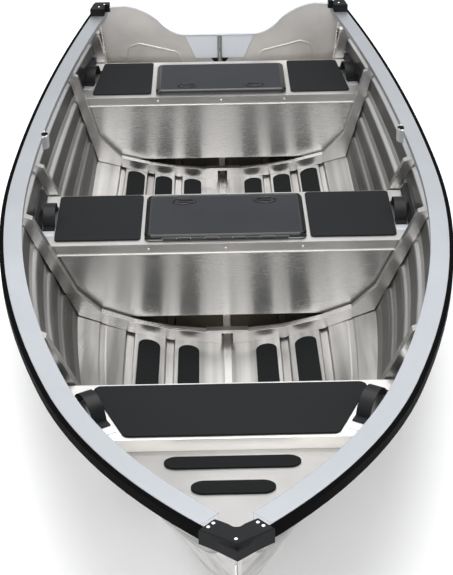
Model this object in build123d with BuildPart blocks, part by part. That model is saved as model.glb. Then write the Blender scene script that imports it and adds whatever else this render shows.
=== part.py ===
from build123d import *
import math
import os

# Aluminium rowing and outboard boat, 4.1 m, three benches.
# Millimetres. Bow towards -Y, stern +Y, +X to the port side, +Z up.
# The origin lies amidships on the centreline, at the waterline.

os.makedirs("parts", exist_ok=True)

# Driving sizes
SKIN = 3.0                # hull sheet
SHEET = 3.0               # bench and locker sheet
SEAT_GAP = 0.3            # between pieces that lie against each other
BEAM_HALF = 794.0         # to the outer edge of the gunwale
WIDEST_Y = 200.0
STERN_R = 9650.0
SIDE_R = 4240.0
BOW_R = 1750.0
KNUCKLE_DEG = 21.0        # heading change where side arc meets bow arc
SHEER_R = 30750.0
SHEER_LOW_Y = 925.0
SHEER_LOW_Z = 508.0
STERN_Y = 2045.0          # transom at gunwale height
STERN_Z = 529.0
RAKE_DEG = 10.0
KEEL_Z = -90.0            # outside of the skin on the centreline
KEEL_FLAT = 14.0
FOREFOOT_R = 600.0
STEM_DEG = 55.0
STEM_IN = 17.7            # stem aft of the gunwales' meeting point
TRIM = 12.0               # hull sides are made this much too high and cut back
GUN_W = 62.0
GUN_T = 3.0
GUN_LIP_OUT = 32.0
GUN_LIP_IN = 22.0
SKIN_IN = 6.0             # skin inside the gunwale's outer edge
RUB_T = 15.0
BENCH_Z = 330.0
LIP = 42.0
LOCKER_Z = 18.0
PAD_T = 5.0

RAKE = math.radians(RAKE_DEG)
KN = math.radians(KNUCKLE_DEG)
SIDE_CX = BEAM_HALF - SIDE_R
STERN_CX = BEAM_HALF - STERN_R
KNUCKLE_Y = WIDEST_Y - SIDE_R * math.sin(KN)
BOW_CX = SIDE_CX + (SIDE_R - BOW_R) * math.cos(KN)
BOW_CY = WIDEST_Y - (SIDE_R - BOW_R) * math.sin(KN)
TIP_Y = BOW_CY - math.sqrt(BOW_R**2 - BOW_CX**2)
WIDE = 1000.0


def sheer_z(y):
    return SHEER_LOW_Z + SHEER_R - math.sqrt(SHEER_R**2 - (y - SHEER_LOW_Y) ** 2)


def sheer_x(y, grow=0.0):
    """Half-breadth of the gunwale's outer edge, moved outward by grow."""
    if y >= WIDEST_Y:
        return STERN_CX + math.sqrt((STERN_R + grow) ** 2 - (y - WIDEST_Y) ** 2)
    r = SIDE_R + grow
    if y >= WIDEST_Y - r * math.sin(KN):
        return SIDE_CX + math.sqrt(r**2 - (y - WIDEST_Y) ** 2)
    return BOW_CX + math.sqrt((BOW_R + grow) ** 2 - (y - BOW_CY) ** 2)


STEM = math.radians(STEM_DEG)
STEM_FOOT_Z = KEEL_Z + FOREFOOT_R * (1 - math.cos(STEM))
STEM_FOOT_Y = TIP_Y + STEM_IN + (sheer_z(TIP_Y) - STEM_FOOT_Z) / math.tan(STEM)
FOREFOOT_Y = STEM_FOOT_Y + FOREFOOT_R * math.sin(STEM)


def keel_z(y):
    """Outside of the skin on the centreline: level, a round forefoot, a straight stem."""
    if y >= FOREFOOT_Y:
        return KEEL_Z
    if y >= STEM_FOOT_Y:
        return KEEL_Z + FOREFOOT_R - math.sqrt(FOREFOOT_R**2 - (y - FOREFOOT_Y) ** 2)
    return STEM_FOOT_Z + (STEM_FOOT_Y - y) * math.tan(STEM)


def offset_line(pts, t):
    """Moves an open line of points to its left by t, with mitred corners."""
    out = []
    n = len(pts)
    for i in range(n):
        dirs = []
        if i > 0:
            dirs.append((pts[i][0] - pts[i - 1][0], pts[i][1] - pts[i - 1][1]))
        if i < n - 1:
            dirs.append((pts[i + 1][0] - pts[i][0], pts[i + 1][1] - pts[i][1]))
        norm = []
        for dx, dz in dirs:
            size = math.hypot(dx, dz)
            norm.append((-dz / size, dx / size))
        nx = sum(v[0] for v in norm) / len(norm)
        nz = sum(v[1] for v in norm) / len(norm)
        k = t / (nx * nx + nz * nz)
        out.append((pts[i][0] + nx * k, pts[i][1] + nz * k))
    return out


def bow(share):
    """A place forward of amidships, as a share of the way to the tip."""
    return TIP_Y * share


# Stations: y, keel lift, groove A (x, z, depth), groove B (x, z, depth), groove C depth,
# chine (x, z), half step of the side bands. Each x is a share of the half-breadth at the gunwale.
SHAPE = [
    (STERN_Y, 14, (0.3377, -58, 10), (0.5471, -40, 10), 8, (0.8766, 18), 5.0),
    (1400, 10, (0.2893, -60, 10), (0.4686, -42, 10), 8, (0.8177, 25), 5.0),
    (700, 4, (0.2702, -63, 10), (0.4481, -38, 10), 6, (0.7528, 34), 5.0),
    (0, 0, (0.2762, -66, 10), (0.4662, -30, 10), 1, (0.7196, 45), 5.0),
    (bow(0.28), 0, (0.2986, -50, 10), (0.4976, -4, 9), 1, (0.7049, 74), 5.0),
    (bow(0.4617), 0, (0.301, -18, 7), (0.4923, 42, 5), 1, (0.6647, 117), 4.5),
    (bow(0.5993), 0, (0.2823, 12, 2), (0.4407, 98, 2), 1, (0.5682, 172), 4.0),
    (bow(0.7368), 0, (0.1902, 90, 1), (0.3016, 170, 1), 0.5, (0.399, 243), 3.0),
    (bow(0.835), 0, (0.1164, 236, 0.5), (0.1875, 281, 0.5), 0.4, (0.265, 330), 2.0),
    (bow(0.9087), 0, (0.1152, 424, 0.3), (0.1623, 441, 0.3), 0.3, (0.2199, 462), 1.0),
    (bow(0.975), 0, (0.3262, 611, 0.2), (0.4121, 619, 0.2), 0.2, (0.4979, 627), 0.3),
]
AFT_STATIONS = (1780, 1580, 1376, 1120, 860, 620, 414, 180)
BOW_STATIONS = (0.0226, 0.1081, 0.1867, 0.2554, 0.3193, 0.3831, 0.445, 0.5256, 0.5993,
                0.6631, 0.7221, 0.7761, 0.8252, 0.8694, 0.9087, 0.9456, 0.975)
LOFT_Y = AFT_STATIONS + tuple(bow(share) for share in BOW_STATIONS)
PAD_STATIONS = 18         # stations from the stern, past all the pads and strips
GROOVE_HALF = 19.0        # half width of a groove at its top
GROOVE_SLOPE = 6.0
STEPS = (0.2, 0.4, 0.6, 0.8)


def slopes(xs, vs):
    """Slopes of a smooth line through the values that makes no new high or low."""
    d = [(vs[i + 1] - vs[i]) / (xs[i + 1] - xs[i]) for i in range(len(xs) - 1)]
    m = [d[0]]
    for i in range(1, len(d)):
        same = d[i - 1] * d[i] > 0
        m.append(2 * d[i - 1] * d[i] / (d[i - 1] + d[i]) if same else 0.0)
    m.append(d[-1])
    return m


def smooth_at(y, xs, vs):
    m = slopes(xs, vs)
    i = 0
    while i < len(xs) - 2 and y > xs[i + 1]:
        i += 1
    h = xs[i + 1] - xs[i]
    t = (y - xs[i]) / h
    a = (1 + 2 * t) * (1 - t) ** 2
    b = t * (1 - t) ** 2
    c = t * t * (3 - 2 * t)
    d = t * t * (t - 1)
    return a * vs[i] + b * h * m[i] + c * vs[i + 1] + d * h * m[i + 1]


def flat(row):
    y, lift, a, b, c_depth, chine, step = row
    half = sheer_x(y)
    return [lift, a[0] * half, *a[1:], b[0] * half, *b[1:], c_depth, chine[0] * half, chine[1], step]


def shape_at(y):
    """One station of the hull's shape, between those of the table."""
    rows = sorted(SHAPE)
    xs = [r[0] for r in rows]
    v = [smooth_at(y, xs, col) for col in zip(*[flat(r) for r in rows])]
    return (y, v[0], tuple(v[1:4]), tuple(v[4:7]), v[7], (v[8], v[9]), v[10])


STATIONS = [shape_at(y) for y in (STERN_Y,) + LOFT_Y]


def station_plane(y):
    """The aftmost station lies in the raked transom, the others are upright."""
    if y == STERN_Y:
        n = (0, -math.cos(RAKE), math.sin(RAKE))
        return Plane(origin=(0, STERN_Y, STERN_Z), x_dir=(1, 0, 0), z_dir=n)
    return Plane(origin=(0, y, 0), x_dir=(1, 0, 0), z_dir=(0, -1, 0))


def to_plane(y, pts):
    """Turns (x, z) into the station plane's own coordinates."""
    if y == STERN_Y:
        return [(x, (z - STERN_Z) / math.cos(RAKE)) for x, z in pts]
    return pts


def along(p, q, t):
    return (p[0] + (q[0] - p[0]) * t, p[1] + (q[1] - p[1]) * t)


def knots(row):
    """Keel, A, B, chine and top of one station, on the outside of the skin."""
    y, lift, a, b, c, chine, step = row
    zk = keel_z(y) + lift
    top_z = sheer_z(y) + TRIM
    top = (sheer_x(y) - SKIN_IN + 0.4 * TRIM, top_z)
    return (KEEL_FLAT, zk), (a[0], a[1]), (b[0], b[1]), chine, top


def groove(p0, p1, p2, depth, half):
    """Four points of a groove pressed out of the bottom at p1."""
    l0 = math.hypot(p1[0] - p0[0], p1[1] - p0[1])
    l1 = math.hypot(p2[0] - p1[0], p2[1] - p1[1])
    a = along(p1, p0, half / l0)
    d = along(p1, p2, half / l1)
    cut = max(half - GROOVE_SLOPE, half * 0.5)
    b = along(p1, p0, cut / l0)
    c = along(p1, p2, cut / l1)
    return [a, (b[0], b[1] - depth), (c[0], c[1] - depth), d]


def skin_half(row, inset):
    """Line of one skin face from the keel flat to the top, inset from the outside."""
    y, lift, a, b, c_depth, chine, step = row
    k, pa, pb, pc, top = offset_line(list(knots(row)), inset) if inset else knots(row)
    room = min(1.0, (pb[0] - pa[0]) / 120.0)
    half = GROOVE_HALF * room
    pts = [k]
    pts += groove(k, pa, pb, a[2], half)
    pts += groove(pa, pb, pc, b[2], half)
    mid = along(pb, pc, 0.52)
    pts += groove(pb, mid, pc, c_depth, half * 0.8)
    pts.append(pc)
    size = math.hypot(top[0] - pc[0], top[1] - pc[1])
    nx, nz = (top[1] - pc[1]) / size, -(top[0] - pc[0]) / size
    rise = 0.02
    for s in STEPS:
        lo, hi = along(pc, top, s - rise), along(pc, top, s + rise)
        pts.append((lo[0] - nx * step, lo[1] - nz * step))
        pts.append((hi[0] + nx * step, hi[1] + nz * step))
    pts.append(top)
    return pts


CHINE_AT = 13             # place of the chine in the points of skin_half


def bottom_half(row):
    """Bottom sheet, from the centreline to the chine."""
    out = skin_half(row, 0)[:CHINE_AT + 1]
    inn = skin_half(row, SKIN)[:CHINE_AT + 1]
    return [(0, out[0][1])] + out + inn[::-1] + [(0, inn[0][1])]


def side_half(row):
    """Side sheet, from just above the chine to the top."""
    out = skin_half(row, 0)[CHINE_AT:]
    inn = skin_half(row, SKIN)[CHINE_AT:]
    for line in (out, inn):
        (x0, z0), (x1, z1) = line[:2]
        line[0] = along(line[0], line[1], SEAT_GAP / math.hypot(x1 - x0, z1 - z0))
    return out + inn[::-1]


def cavity_half(row, gap):
    """Room inside the hull, gap clear of the skin's inner face and without the grooves."""
    step = row[6]
    k, pa, pb, pc, top = knots(row)
    size = math.hypot(top[0] - pc[0], top[1] - pc[1])
    nx, nz = (top[1] - pc[1]) / size, -(top[0] - pc[0]) / size
    pc2 = (pc[0] - nx * step, pc[1] - nz * step)
    top2 = (top[0] - nx * step, top[1] - nz * step)
    inn = offset_line([k, pa, pb, pc2, top2], SKIN + gap)
    return [(0, k[1] + SKIN + gap)] + inn + [(0, inn[-1][1])]


def lining_half(row):
    """Room inside the hull that follows the side bands, a seat gap clear of the skin."""
    pts = skin_half(row, SKIN + SEAT_GAP)
    return [(0, pts[0][1])] + pts + [(0, pts[-1][1])]


def knots_at(y):
    return list(knots(shape_at(y)))


def floor_z(y):
    """Outside of the skin on the centreline."""
    return keel_z(y) + (shape_at(y)[1] if y > bow(0.28) else 0)


def side_band(low, high, y0=-2200.0, y1=2200.0, half=WIDE):
    """A slab between two lines parallel to the sheer, across the whole boat."""
    ym = (y0 + y1) / 2
    with BuildPart() as band:
        with BuildSketch(Plane.YZ.offset(-half)):
            with BuildLine():
                ThreePointArc((y0, sheer_z(y0) + low), (ym, sheer_z(ym) + low), (y1, sheer_z(y1) + low))
                Line((y1, sheer_z(y1) + low), (y1, sheer_z(y1) + high))
                ThreePointArc((y1, sheer_z(y1) + high), (ym, sheer_z(ym) + high), (y0, sheer_z(y0) + high))
                Line((y0, sheer_z(y0) + high), (y0, sheer_z(y0) + low))
            make_face()
        extrude(amount=2 * half)
    return band.part


def save(obj, name):
    obj.label = name
    export_step(obj, "parts/" + name + ".step")
    print(name, obj.is_valid, len(obj.solids()), round(obj.volume))


def loft_half(rows, outline, *args):
    """Loft of the port half through the outlines of the given stations."""
    with BuildPart() as half:
        for row in rows:
            with BuildSketch(station_plane(row[0])):
                with BuildLine():
                    Polyline(*to_plane(row[0], outline(row, *args)), close=True)
                make_face()
        loft()
    return half.part


# Room inside the hull, used to trim what is fitted in it
half_room = loft_half(STATIONS[:-1], cavity_half, SEAT_GAP)
ROOM = half_room + mirror(half_room, about=Plane.YZ)
half_room = loft_half(STATIONS[:PAD_STATIONS], cavity_half, SEAT_GAP + PAD_T)
PAD_ROOM = half_room + mirror(half_room, about=Plane.YZ)

ABOVE_SHEER = side_band(-GUN_T - SEAT_GAP, 400)
TRANSOM_PLANE = station_plane(STERN_Y)
STERN_HALF = sheer_x(STERN_Y)

# Hull: one bottom sheet and two side sheets that meet at the chines
half_bottom = loft_half(STATIONS, bottom_half)
HULL = half_bottom + mirror(half_bottom, about=Plane.YZ)
save(HULL, "hull")

half_side = loft_half(STATIONS, side_half)
with BuildPart() as side_sheets:
    add(half_side)
    add(ABOVE_SHEER, mode=Mode.SUBTRACT)
    mirror(about=Plane.YZ)
save(side_sheets.part, "side_sheets")


def prism_yz(pts, half=WIDE):
    """A slab across the boat with the outline pts in (y, z)."""
    with BuildPart() as slab:
        with BuildSketch(Plane.YZ.offset(-half)):
            with BuildLine():
                Polyline(*pts, close=True)
            make_face()
        extrude(amount=2 * half)
    return slab.part


# Keel strip and stem bar outside the skin
STRIP_HALF = 12.0
STRIP_T = 14.0
STRIP_SINK = 1.5          # how far the bar starts inside the skin before it is cut back
KEEL_AFT_Y = 1925.0
STEM_RUN = 555.0
KEEL_YS = (1400, 700, 350, 0, bow(0.295), FOREFOOT_Y)


def stem_line(r):
    """Forefoot at the radius r and the straight stem above it."""
    pts = []
    for deg in range(5, int(STEM_DEG) + 1, 5):
        a = math.radians(deg)
        pts.append((FOREFOOT_Y - r * math.sin(a), KEEL_Z + FOREFOOT_R - r * math.cos(a)))
    y, z = pts[-1]
    pts.append((y - STEM_RUN * math.cos(STEM), z + STEM_RUN * math.sin(STEM)))
    return pts


strip_in = [(y, floor_z(y) + STRIP_SINK) for y in (KEEL_AFT_Y,) + KEEL_YS]
strip_out = [(y, z - STRIP_SINK - STRIP_T) for y, z in strip_in]
strip_bar = prism_yz(
    strip_in + stem_line(FOREFOOT_R - STRIP_SINK) + stem_line(FOREFOOT_R + STRIP_T)[::-1] + strip_out[::-1],
    STRIP_HALF,
)
above_strip = side_band(-GUN_T - 1, 400)
with BuildPart() as keel_strip:
    add(strip_bar)
    add(HULL, mode=Mode.SUBTRACT)
    add(above_strip, mode=Mode.SUBTRACT)
save(keel_strip.part.solids().sort_by(SortBy.VOLUME)[-1], "keel_strip")

# Keel extrusion on the floor
INNER_KEEL_HALF = 14.0
INNER_KEEL_H = 9.0
INNER_KEEL_AFT_Y = 1915.0
keel_top = [(y, floor_z(y) + SKIN + SEAT_GAP + INNER_KEEL_H) for y in (INNER_KEEL_AFT_Y,) + KEEL_YS[:-1]]
keel_top.append((FOREFOOT_Y + 7, keel_top[-1][1]))
keel_low = [(y, z - INNER_KEEL_H - 4) for y, z in keel_top]
keel_bar = prism_yz(keel_top + keel_low[::-1], INNER_KEEL_HALF)
with BuildPart() as inner_keel:
    add(keel_bar)
    add(ROOM, mode=Mode.INTERSECT)
save(inner_keel.part, "inner_keel")


def keel_clear(y):
    """Just above the keel extrusion."""
    return floor_z(y) + SKIN + SEAT_GAP + INNER_KEEL_H + 1.0


RING_OVER = 75.0          # how far plan strips run on past the transom


def ring_points(grow, y_end):
    """Three arcs of a line in plan parallel to the gunwale's edge, from the stern forward to y_end."""
    aft = STERN_Y + RING_OVER
    knuckle = WIDEST_Y - (SIDE_R + grow) * math.sin(KN)
    arcs = []
    for y0, y1 in ((aft, WIDEST_Y), (WIDEST_Y, knuckle)):
        arcs.append([(sheer_x(y, grow), y) for y in (y0, (y0 + y1) / 2, y1)])
    last = [arcs[1][2]]
    for y in ((knuckle + y_end) / 2, y_end):
        last.append((BOW_CX + math.sqrt((BOW_R + grow) ** 2 - (y - BOW_CY) ** 2), y))
    return arcs + [last]


def side_ring(out, inn, end_out, end_in):
    """Tall strip of one side between two lines that run parallel to the gunwale's edge."""
    o = ring_points(out, end_out)
    i = ring_points(inn, end_in)
    with BuildPart() as strip:
        with BuildSketch(Plane.XY.offset(200)):
            with BuildLine():
                for a, m, b in o:
                    ThreePointArc(a, m, b)
                Line(o[2][2], i[2][2])
                for a, m, b in reversed(i):
                    ThreePointArc(b, m, a)
                Line(i[0][0], o[0][0])
            make_face()
        extrude(amount=600)
    return strip.part


def tip_y(grow):
    """Where a line parallel to the gunwale's edge meets the centreline at the bow."""
    return BOW_CY - math.sqrt((BOW_R + grow) ** 2 - BOW_CX**2)


def end_on_normal(grow, y_ref):
    """Y on the line moved by grow, square across the gunwale from y_ref on its edge."""
    return BOW_CY - (BOW_R + grow) * (BOW_CY - y_ref) / BOW_R


with BuildPart() as aft_block:
    with BuildSketch(TRANSOM_PLANE):
        Rectangle(2400, 2400)
    extrude(amount=-600)
AFT_OF_TRANSOM = aft_block.part

# Gunwales: a flat top with an outer lip, a shorter inner lip and an open underside
GUN_END = TIP_Y + 74
GUN_CUT = TIP_Y + 46
gun_blank = side_ring(0, -GUN_W, end_on_normal(0, GUN_END), end_on_normal(-GUN_W, GUN_END))
gun_blank = gun_blank & side_band(-GUN_LIP_OUT, 0)
core_out, core_in = -GUN_T, GUN_T - GUN_W
gun_core = side_ring(core_out, core_in, end_on_normal(core_out, GUN_CUT), end_on_normal(core_in, GUN_CUT))
gun_core = gun_core & side_band(-100, -GUN_T)
low_out, low_in = -GUN_W / 2, -GUN_W - 20
inner_low = side_ring(low_out, low_in, end_on_normal(low_out, GUN_CUT), end_on_normal(low_in, GUN_CUT))
inner_low = inner_low & side_band(-100, -GUN_LIP_IN)
with BuildPart() as gunwales:
    add(gun_blank)
    add(gun_core, mode=Mode.SUBTRACT)
    add(inner_low, mode=Mode.SUBTRACT)
    add(AFT_OF_TRANSOM, mode=Mode.SUBTRACT)
    mirror(about=Plane.YZ)
save(gunwales.part, "gunwales")

# Rub rail round the gunwales' outer lips
rail_ring = side_ring(RUB_T, SEAT_GAP, tip_y(RUB_T) + 0.5, tip_y(SEAT_GAP) + 0.5)
rail_band = side_band(-GUN_LIP_OUT, -2)
with BuildPart() as rub_rail:
    add(rail_ring)
    add(rail_band, mode=Mode.INTERSECT)
    add(AFT_OF_TRANSOM, mode=Mode.SUBTRACT)
    mirror(about=Plane.YZ)
save(rub_rail.part, "rub_rail")

# Transom: top edge with a low cut-out for the motor, a doubler and two embossed panels
TRANSOM_T = 4.0
DOUBLER_T = 1.2
DOUBLER = [(-174, 403), (174, 403), (70, 178), (-70, 178)]
EMBOSS = [(466, 175), (466, 352), (404, 371), (208, 324), (176, 262), (162, 175)]
EMBOSS_R = 34.0
EMBOSS_W = 9.0
EMBOSS_T = 2.2
# End of the flat, first arc's middle and end, second arc's middle and end
TOP_LINE = [(470, 549), (385, 526), (300, 472), (240, 424), (176, 405)]


def on_transom(pts):
    return to_plane(STERN_Y, pts)


skin_line = [p for p in skin_half(STATIONS[0], 0) if p[1] < STERN_Z - 8]
corner = [(STERN_HALF - SKIN_IN, STERN_Z - 4), (STERN_HALF + 2, STERN_Z + 12)]
transom_edge = on_transom([(0, skin_line[0][1])] + skin_line + corner + TOP_LINE[:1])
arc_up = on_transom(TOP_LINE[:3])
arc_low = on_transom(TOP_LINE[2:])
notch = on_transom([(0, TOP_LINE[-1][1])])[0]
with BuildPart() as transom:
    with BuildSketch(TRANSOM_PLANE):
        with BuildLine():
            Polyline(*transom_edge)
            ThreePointArc(*arc_up)
            ThreePointArc(*arc_low)
            Polyline(arc_low[2], notch, transom_edge[0])
        make_face()
    extrude(amount=-TRANSOM_T)
    with BuildSketch(TRANSOM_PLANE) as emboss:
        with BuildLine():
            Polyline(*on_transom(EMBOSS), close=True)
        make_face()
        fillet(emboss.vertices(), EMBOSS_R)
        offset(amount=-EMBOSS_W, mode=Mode.SUBTRACT)
    extrude(amount=EMBOSS_T)
    mirror(about=Plane.YZ)
    with BuildSketch(TRANSOM_PLANE):
        with BuildLine():
            Polyline(*on_transom(DOUBLER), close=True)
        make_face()
    extrude(amount=DOUBLER_T)
save(transom.part, "transom")

# Folded rail along the transom's top edge
CAP_RAIL_T = 4.0
CAP_RAIL_W = 26.0
CAP_RAIL_AFT = 2.0        # overhang on the outside
RAIL_END_IN = 50.0
RAIL_END_Z = TOP_LINE[0][1] - 5


def rail_line(lift):
    """Line of the rail's face at the given height over the transom's edge."""
    end = (STERN_HALF - RAIL_END_IN, RAIL_END_Z + lift)
    return on_transom([end] + [(x, z + lift) for x, z in TOP_LINE] + [(0, TOP_LINE[-1][1] + lift)])


over = rail_line(CAP_RAIL_T + SEAT_GAP)
under = rail_line(SEAT_GAP)
with BuildPart() as transom_rail:
    with BuildSketch(TRANSOM_PLANE.offset(CAP_RAIL_W - TRANSOM_T - CAP_RAIL_AFT)):
        with BuildLine():
            Line(over[0], over[1])
            ThreePointArc(over[1], over[2], over[3])
            ThreePointArc(over[3], over[4], over[5])
            Polyline(over[5], over[6], under[6], under[5])
            ThreePointArc(under[5], under[4], under[3])
            ThreePointArc(under[3], under[2], under[1])
            Polyline(under[1], under[0], over[0])
        make_face()
    extrude(amount=-CAP_RAIL_W)
    mirror(about=Plane.YZ)
save(transom_rail.part, "transom_rail")

# Motor pads on both sides of the transom
MOTOR_PAD_T = 5.0
OUTER_PAD_T = 3.0
MOTOR_PAD = [(-172, 401), (172, 401), (122, 292), (-122, 292)]
with BuildPart() as motor_pad:
    with BuildSketch(TRANSOM_PLANE.offset(DOUBLER_T + SEAT_GAP)):
        with BuildLine():
            Polyline(*on_transom(MOTOR_PAD), close=True)
        make_face()
    extrude(amount=MOTOR_PAD_T)
    with BuildSketch(TRANSOM_PLANE.offset(-TRANSOM_T - SEAT_GAP)):
        with BuildLine():
            Polyline(*on_transom(MOTOR_PAD), close=True)
        make_face()
    extrude(amount=-OUTER_PAD_T)
save(motor_pad.part, "motor_pad")
clamp_plane = TRANSOM_PLANE.offset(-TRANSOM_T - SEAT_GAP - OUTER_PAD_T)
print("clamp face", clamp_plane.from_local_coords((*on_transom([(80, 350)])[0], 0)))

# Tube up the middle of the transom, with its foot and a tapered bracket behind it
TUBE_R = 12.0
TUBE_WALL = 2.0
TUBE_LOW_Z = -20.0
TUBE_TOP_Z = 398.0
FOOT_Z = -16.0
TUBE_IN = DOUBLER_T + SEAT_GAP * 2 + MOTOR_PAD_T + TUBE_R
tube_low, tube_top, foot_at = [v for _, v in on_transom([(0, TUBE_LOW_Z), (0, TUBE_TOP_Z), (0, FOOT_Z)])]
tube_start = TRANSOM_PLANE.offset(TUBE_IN).from_local_coords((0, tube_low, 0))
with BuildPart() as transom_tube:
    with BuildSketch(Plane(origin=tube_start, x_dir=(1, 0, 0), z_dir=TRANSOM_PLANE.y_dir)):
        Circle(TUBE_R)
        Circle(TUBE_R - TUBE_WALL, mode=Mode.SUBTRACT)
    extrude(amount=tube_top - tube_low)
    with BuildSketch(TRANSOM_PLANE.offset(TUBE_IN - TUBE_R - 0.1)):
        with Locations((0, foot_at)):
            Rectangle(80, 44)
            Rectangle(50, 20, mode=Mode.SUBTRACT)
    extrude(amount=3)
save(transom_tube.part, "transom_tube")

BRACKET = [(-44, 291), (44, 291), (16, 256), (-16, 256)]
with BuildPart() as tube_bracket:
    with BuildSketch(TRANSOM_PLANE.offset(DOUBLER_T + SEAT_GAP)):
        with BuildLine():
            Polyline(*on_transom(BRACKET), close=True)
        make_face()
    extrude(amount=MOTOR_PAD_T)
save(tube_bracket.part, "tube_bracket")

# Caps at the stern corners
CAP_T = 7.0
CAP_IN = 76.0             # from the gunwale's edge at the transom inward
CAP_FWD_Y = 1975.0
CAP_STEP_Y = 2028.0
CAP_AFT_Y = 2070.0
CAP_OUT = 3.0
cap_inner = sheer_x(CAP_FWD_Y) - GUN_W - 4
CAP_PLAN = [
    (STERN_HALF - CAP_IN, CAP_STEP_Y),
    (STERN_HALF - CAP_IN, CAP_AFT_Y),
    (sheer_x(CAP_AFT_Y) + CAP_OUT, CAP_AFT_Y),
    (sheer_x(CAP_FWD_Y) + CAP_OUT, CAP_FWD_Y),
    (cap_inner, CAP_FWD_Y),
    (cap_inner, CAP_STEP_Y),
]
cap_profile = prism_yz([(1900, 300), (1900, 556), (2030, 566), (2200, 566), (2200, 300)])
cap_over = side_band(SEAT_GAP, 60)
with BuildPart() as stern_caps:
    with BuildSketch(Plane.XY.offset(STERN_Z - 60)):
        with BuildLine():
            Polyline(*CAP_PLAN, close=True)
        make_face()
    extrude(amount=120)
    add(cap_over, mode=Mode.INTERSECT)
    add(cap_profile, mode=Mode.INTERSECT)
    add(transom.part, mode=Mode.SUBTRACT)
    add(transom_rail.part, mode=Mode.SUBTRACT)
    mirror(about=Plane.YZ)
save(stern_caps.part, "stern_caps")

# Cap over the bow
BOW_CAP_REACH = 141.0
BOW_CAP_MID = 168.0
BOW_CAP_OUT = 2.0
BOW_CAP_NOTCH = 26.0
cap_ref = TIP_Y + BOW_CAP_REACH
cap_in = -GUN_W - 4
out_end = end_on_normal(BOW_CAP_OUT, cap_ref)
in_end = end_on_normal(cap_in, cap_ref)
cap_tip = tip_y(BOW_CAP_OUT)
out_x = sheer_x(out_end, BOW_CAP_OUT)
in_x = BOW_CX + math.sqrt((BOW_R + cap_in) ** 2 - (in_end - BOW_CY) ** 2)
BOW_PLAN = [
    (0, cap_tip),
    (out_x * 0.5, (cap_tip + out_end) / 2 - 2),
    (out_x, out_end),
    (in_x, in_end),
    (BOW_CAP_NOTCH, TIP_Y + BOW_CAP_MID),
    (0, TIP_Y + BOW_CAP_MID),
]
cap_over = side_band(SEAT_GAP, CAP_T)
with BuildPart() as bow_cap:
    with BuildSketch(Plane.XY.offset(500)):
        with BuildLine():
            Polyline(*BOW_PLAN, close=True)
        make_face()
    extrude(amount=300)
    add(cap_over, mode=Mode.INTERSECT)
    mirror(about=Plane.YZ)
save(bow_cap.part, "bow_cap")

# Benches: forward edge, aft edge, forward edge of the hatch
HATCH_W = 605.0
HATCH_D = 356.0
BENCHES = {"front": (-1217.0, -930.0, None), "mid": (-22.0, 390.0, -4.0), "aft": (1400.0, 1845.0, 1424.0)}
OPEN_W = 555.0
OPEN_D = 304.0
HEM = 6.0                 # outward fold at the foot of a bench's forward lip


def bench_profile(y0, y1, hem):
    low, top = BENCH_Z - LIP, BENCH_Z
    fold = [(y0, low + SHEET), (y0 - hem, low + SHEET), (y0 - hem, low)] if hem else []
    outer = fold[::-1] + [(y0, top), (y1, top), (y1, low)]
    inner = [(y1 - SHEET, low), (y1 - SHEET, top - SHEET), (y0 + SHEET, top - SHEET), (y0 + SHEET, low)]
    return outer + inner if hem else [(y0, low)] + outer + inner


def bench_top(y0, y1, hatch_y):
    blank = prism_yz(bench_profile(y0, y1, HEM if hatch_y is not None else 0))
    with BuildPart() as top:
        add(blank)
        add(ROOM, mode=Mode.INTERSECT)
        if hatch_y is not None:
            with Locations((0, hatch_y + HATCH_D / 2, BENCH_Z)):
                Box(OPEN_W, OPEN_D, 40, mode=Mode.SUBTRACT)
    return top.part


def locker(y0, y1):
    """Tray with forward and aft walls that hangs under a bench."""
    a, b = y0 + SHEET + SEAT_GAP, y1 - SHEET - SEAT_GAP
    top, low = BENCH_Z - SHEET - SEAT_GAP, LOCKER_Z
    outer = [(a, top), (a, low), (b, low), (b, top)]
    inner = [(b - SHEET, top), (b - SHEET, low + SHEET), (a + SHEET, low + SHEET), (a + SHEET, top)]
    blank = prism_yz(outer + inner)
    with BuildPart() as tray:
        add(blank)
        add(ROOM, mode=Mode.INTERSECT)
    return tray.part


for name, (y0, y1, hatch_y) in BENCHES.items():
    save(bench_top(y0, y1, hatch_y), name + "_bench")
    if hatch_y is not None:
        save(locker(y0, y1), name + "_locker")

front_y0, front_y1, _ = BENCHES["front"]
wall_y = front_y1 - SHEET - SEAT_GAP
wall_z = BENCH_Z - SHEET - SEAT_GAP
wall = prism_yz([(wall_y, wall_z), (wall_y, -200), (wall_y - SHEET, -200), (wall_y - SHEET, wall_z)])
with BuildPart() as front_bulkhead:
    add(wall)
    add(ROOM, mode=Mode.INTERSECT)
    with Locations((0, wall_y, keel_clear(wall_y) - 100)):
        Box(2 * INNER_KEEL_HALF + 2, 20, 200, mode=Mode.SUBTRACT)
save(front_bulkhead.part, "front_bulkhead")

# Foredeck between the front bench and the bow, with its pads: y, length, width
DECK_Y0 = front_y0 - SEAT_GAP
DECK_Z0 = BENCH_Z - LIP
DECK_RUN = 598.0
DECK_TILT = math.radians(11.8)
DECK_PADS = [(-1300, 395, 74), (-1453, 236, 76)]
deck_y1 = DECK_Y0 - DECK_RUN
deck_z1 = DECK_Z0 + DECK_RUN * math.tan(DECK_TILT)
deck_top = [(DECK_Y0, DECK_Z0), (deck_y1, deck_z1)]
deck = prism_yz(deck_top + [(y, z - SHEET) for y, z in reversed(deck_top)])
with BuildPart() as foredeck:
    add(deck)
    add(ROOM, mode=Mode.INTERSECT)
save(foredeck.part, "foredeck")

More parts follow.
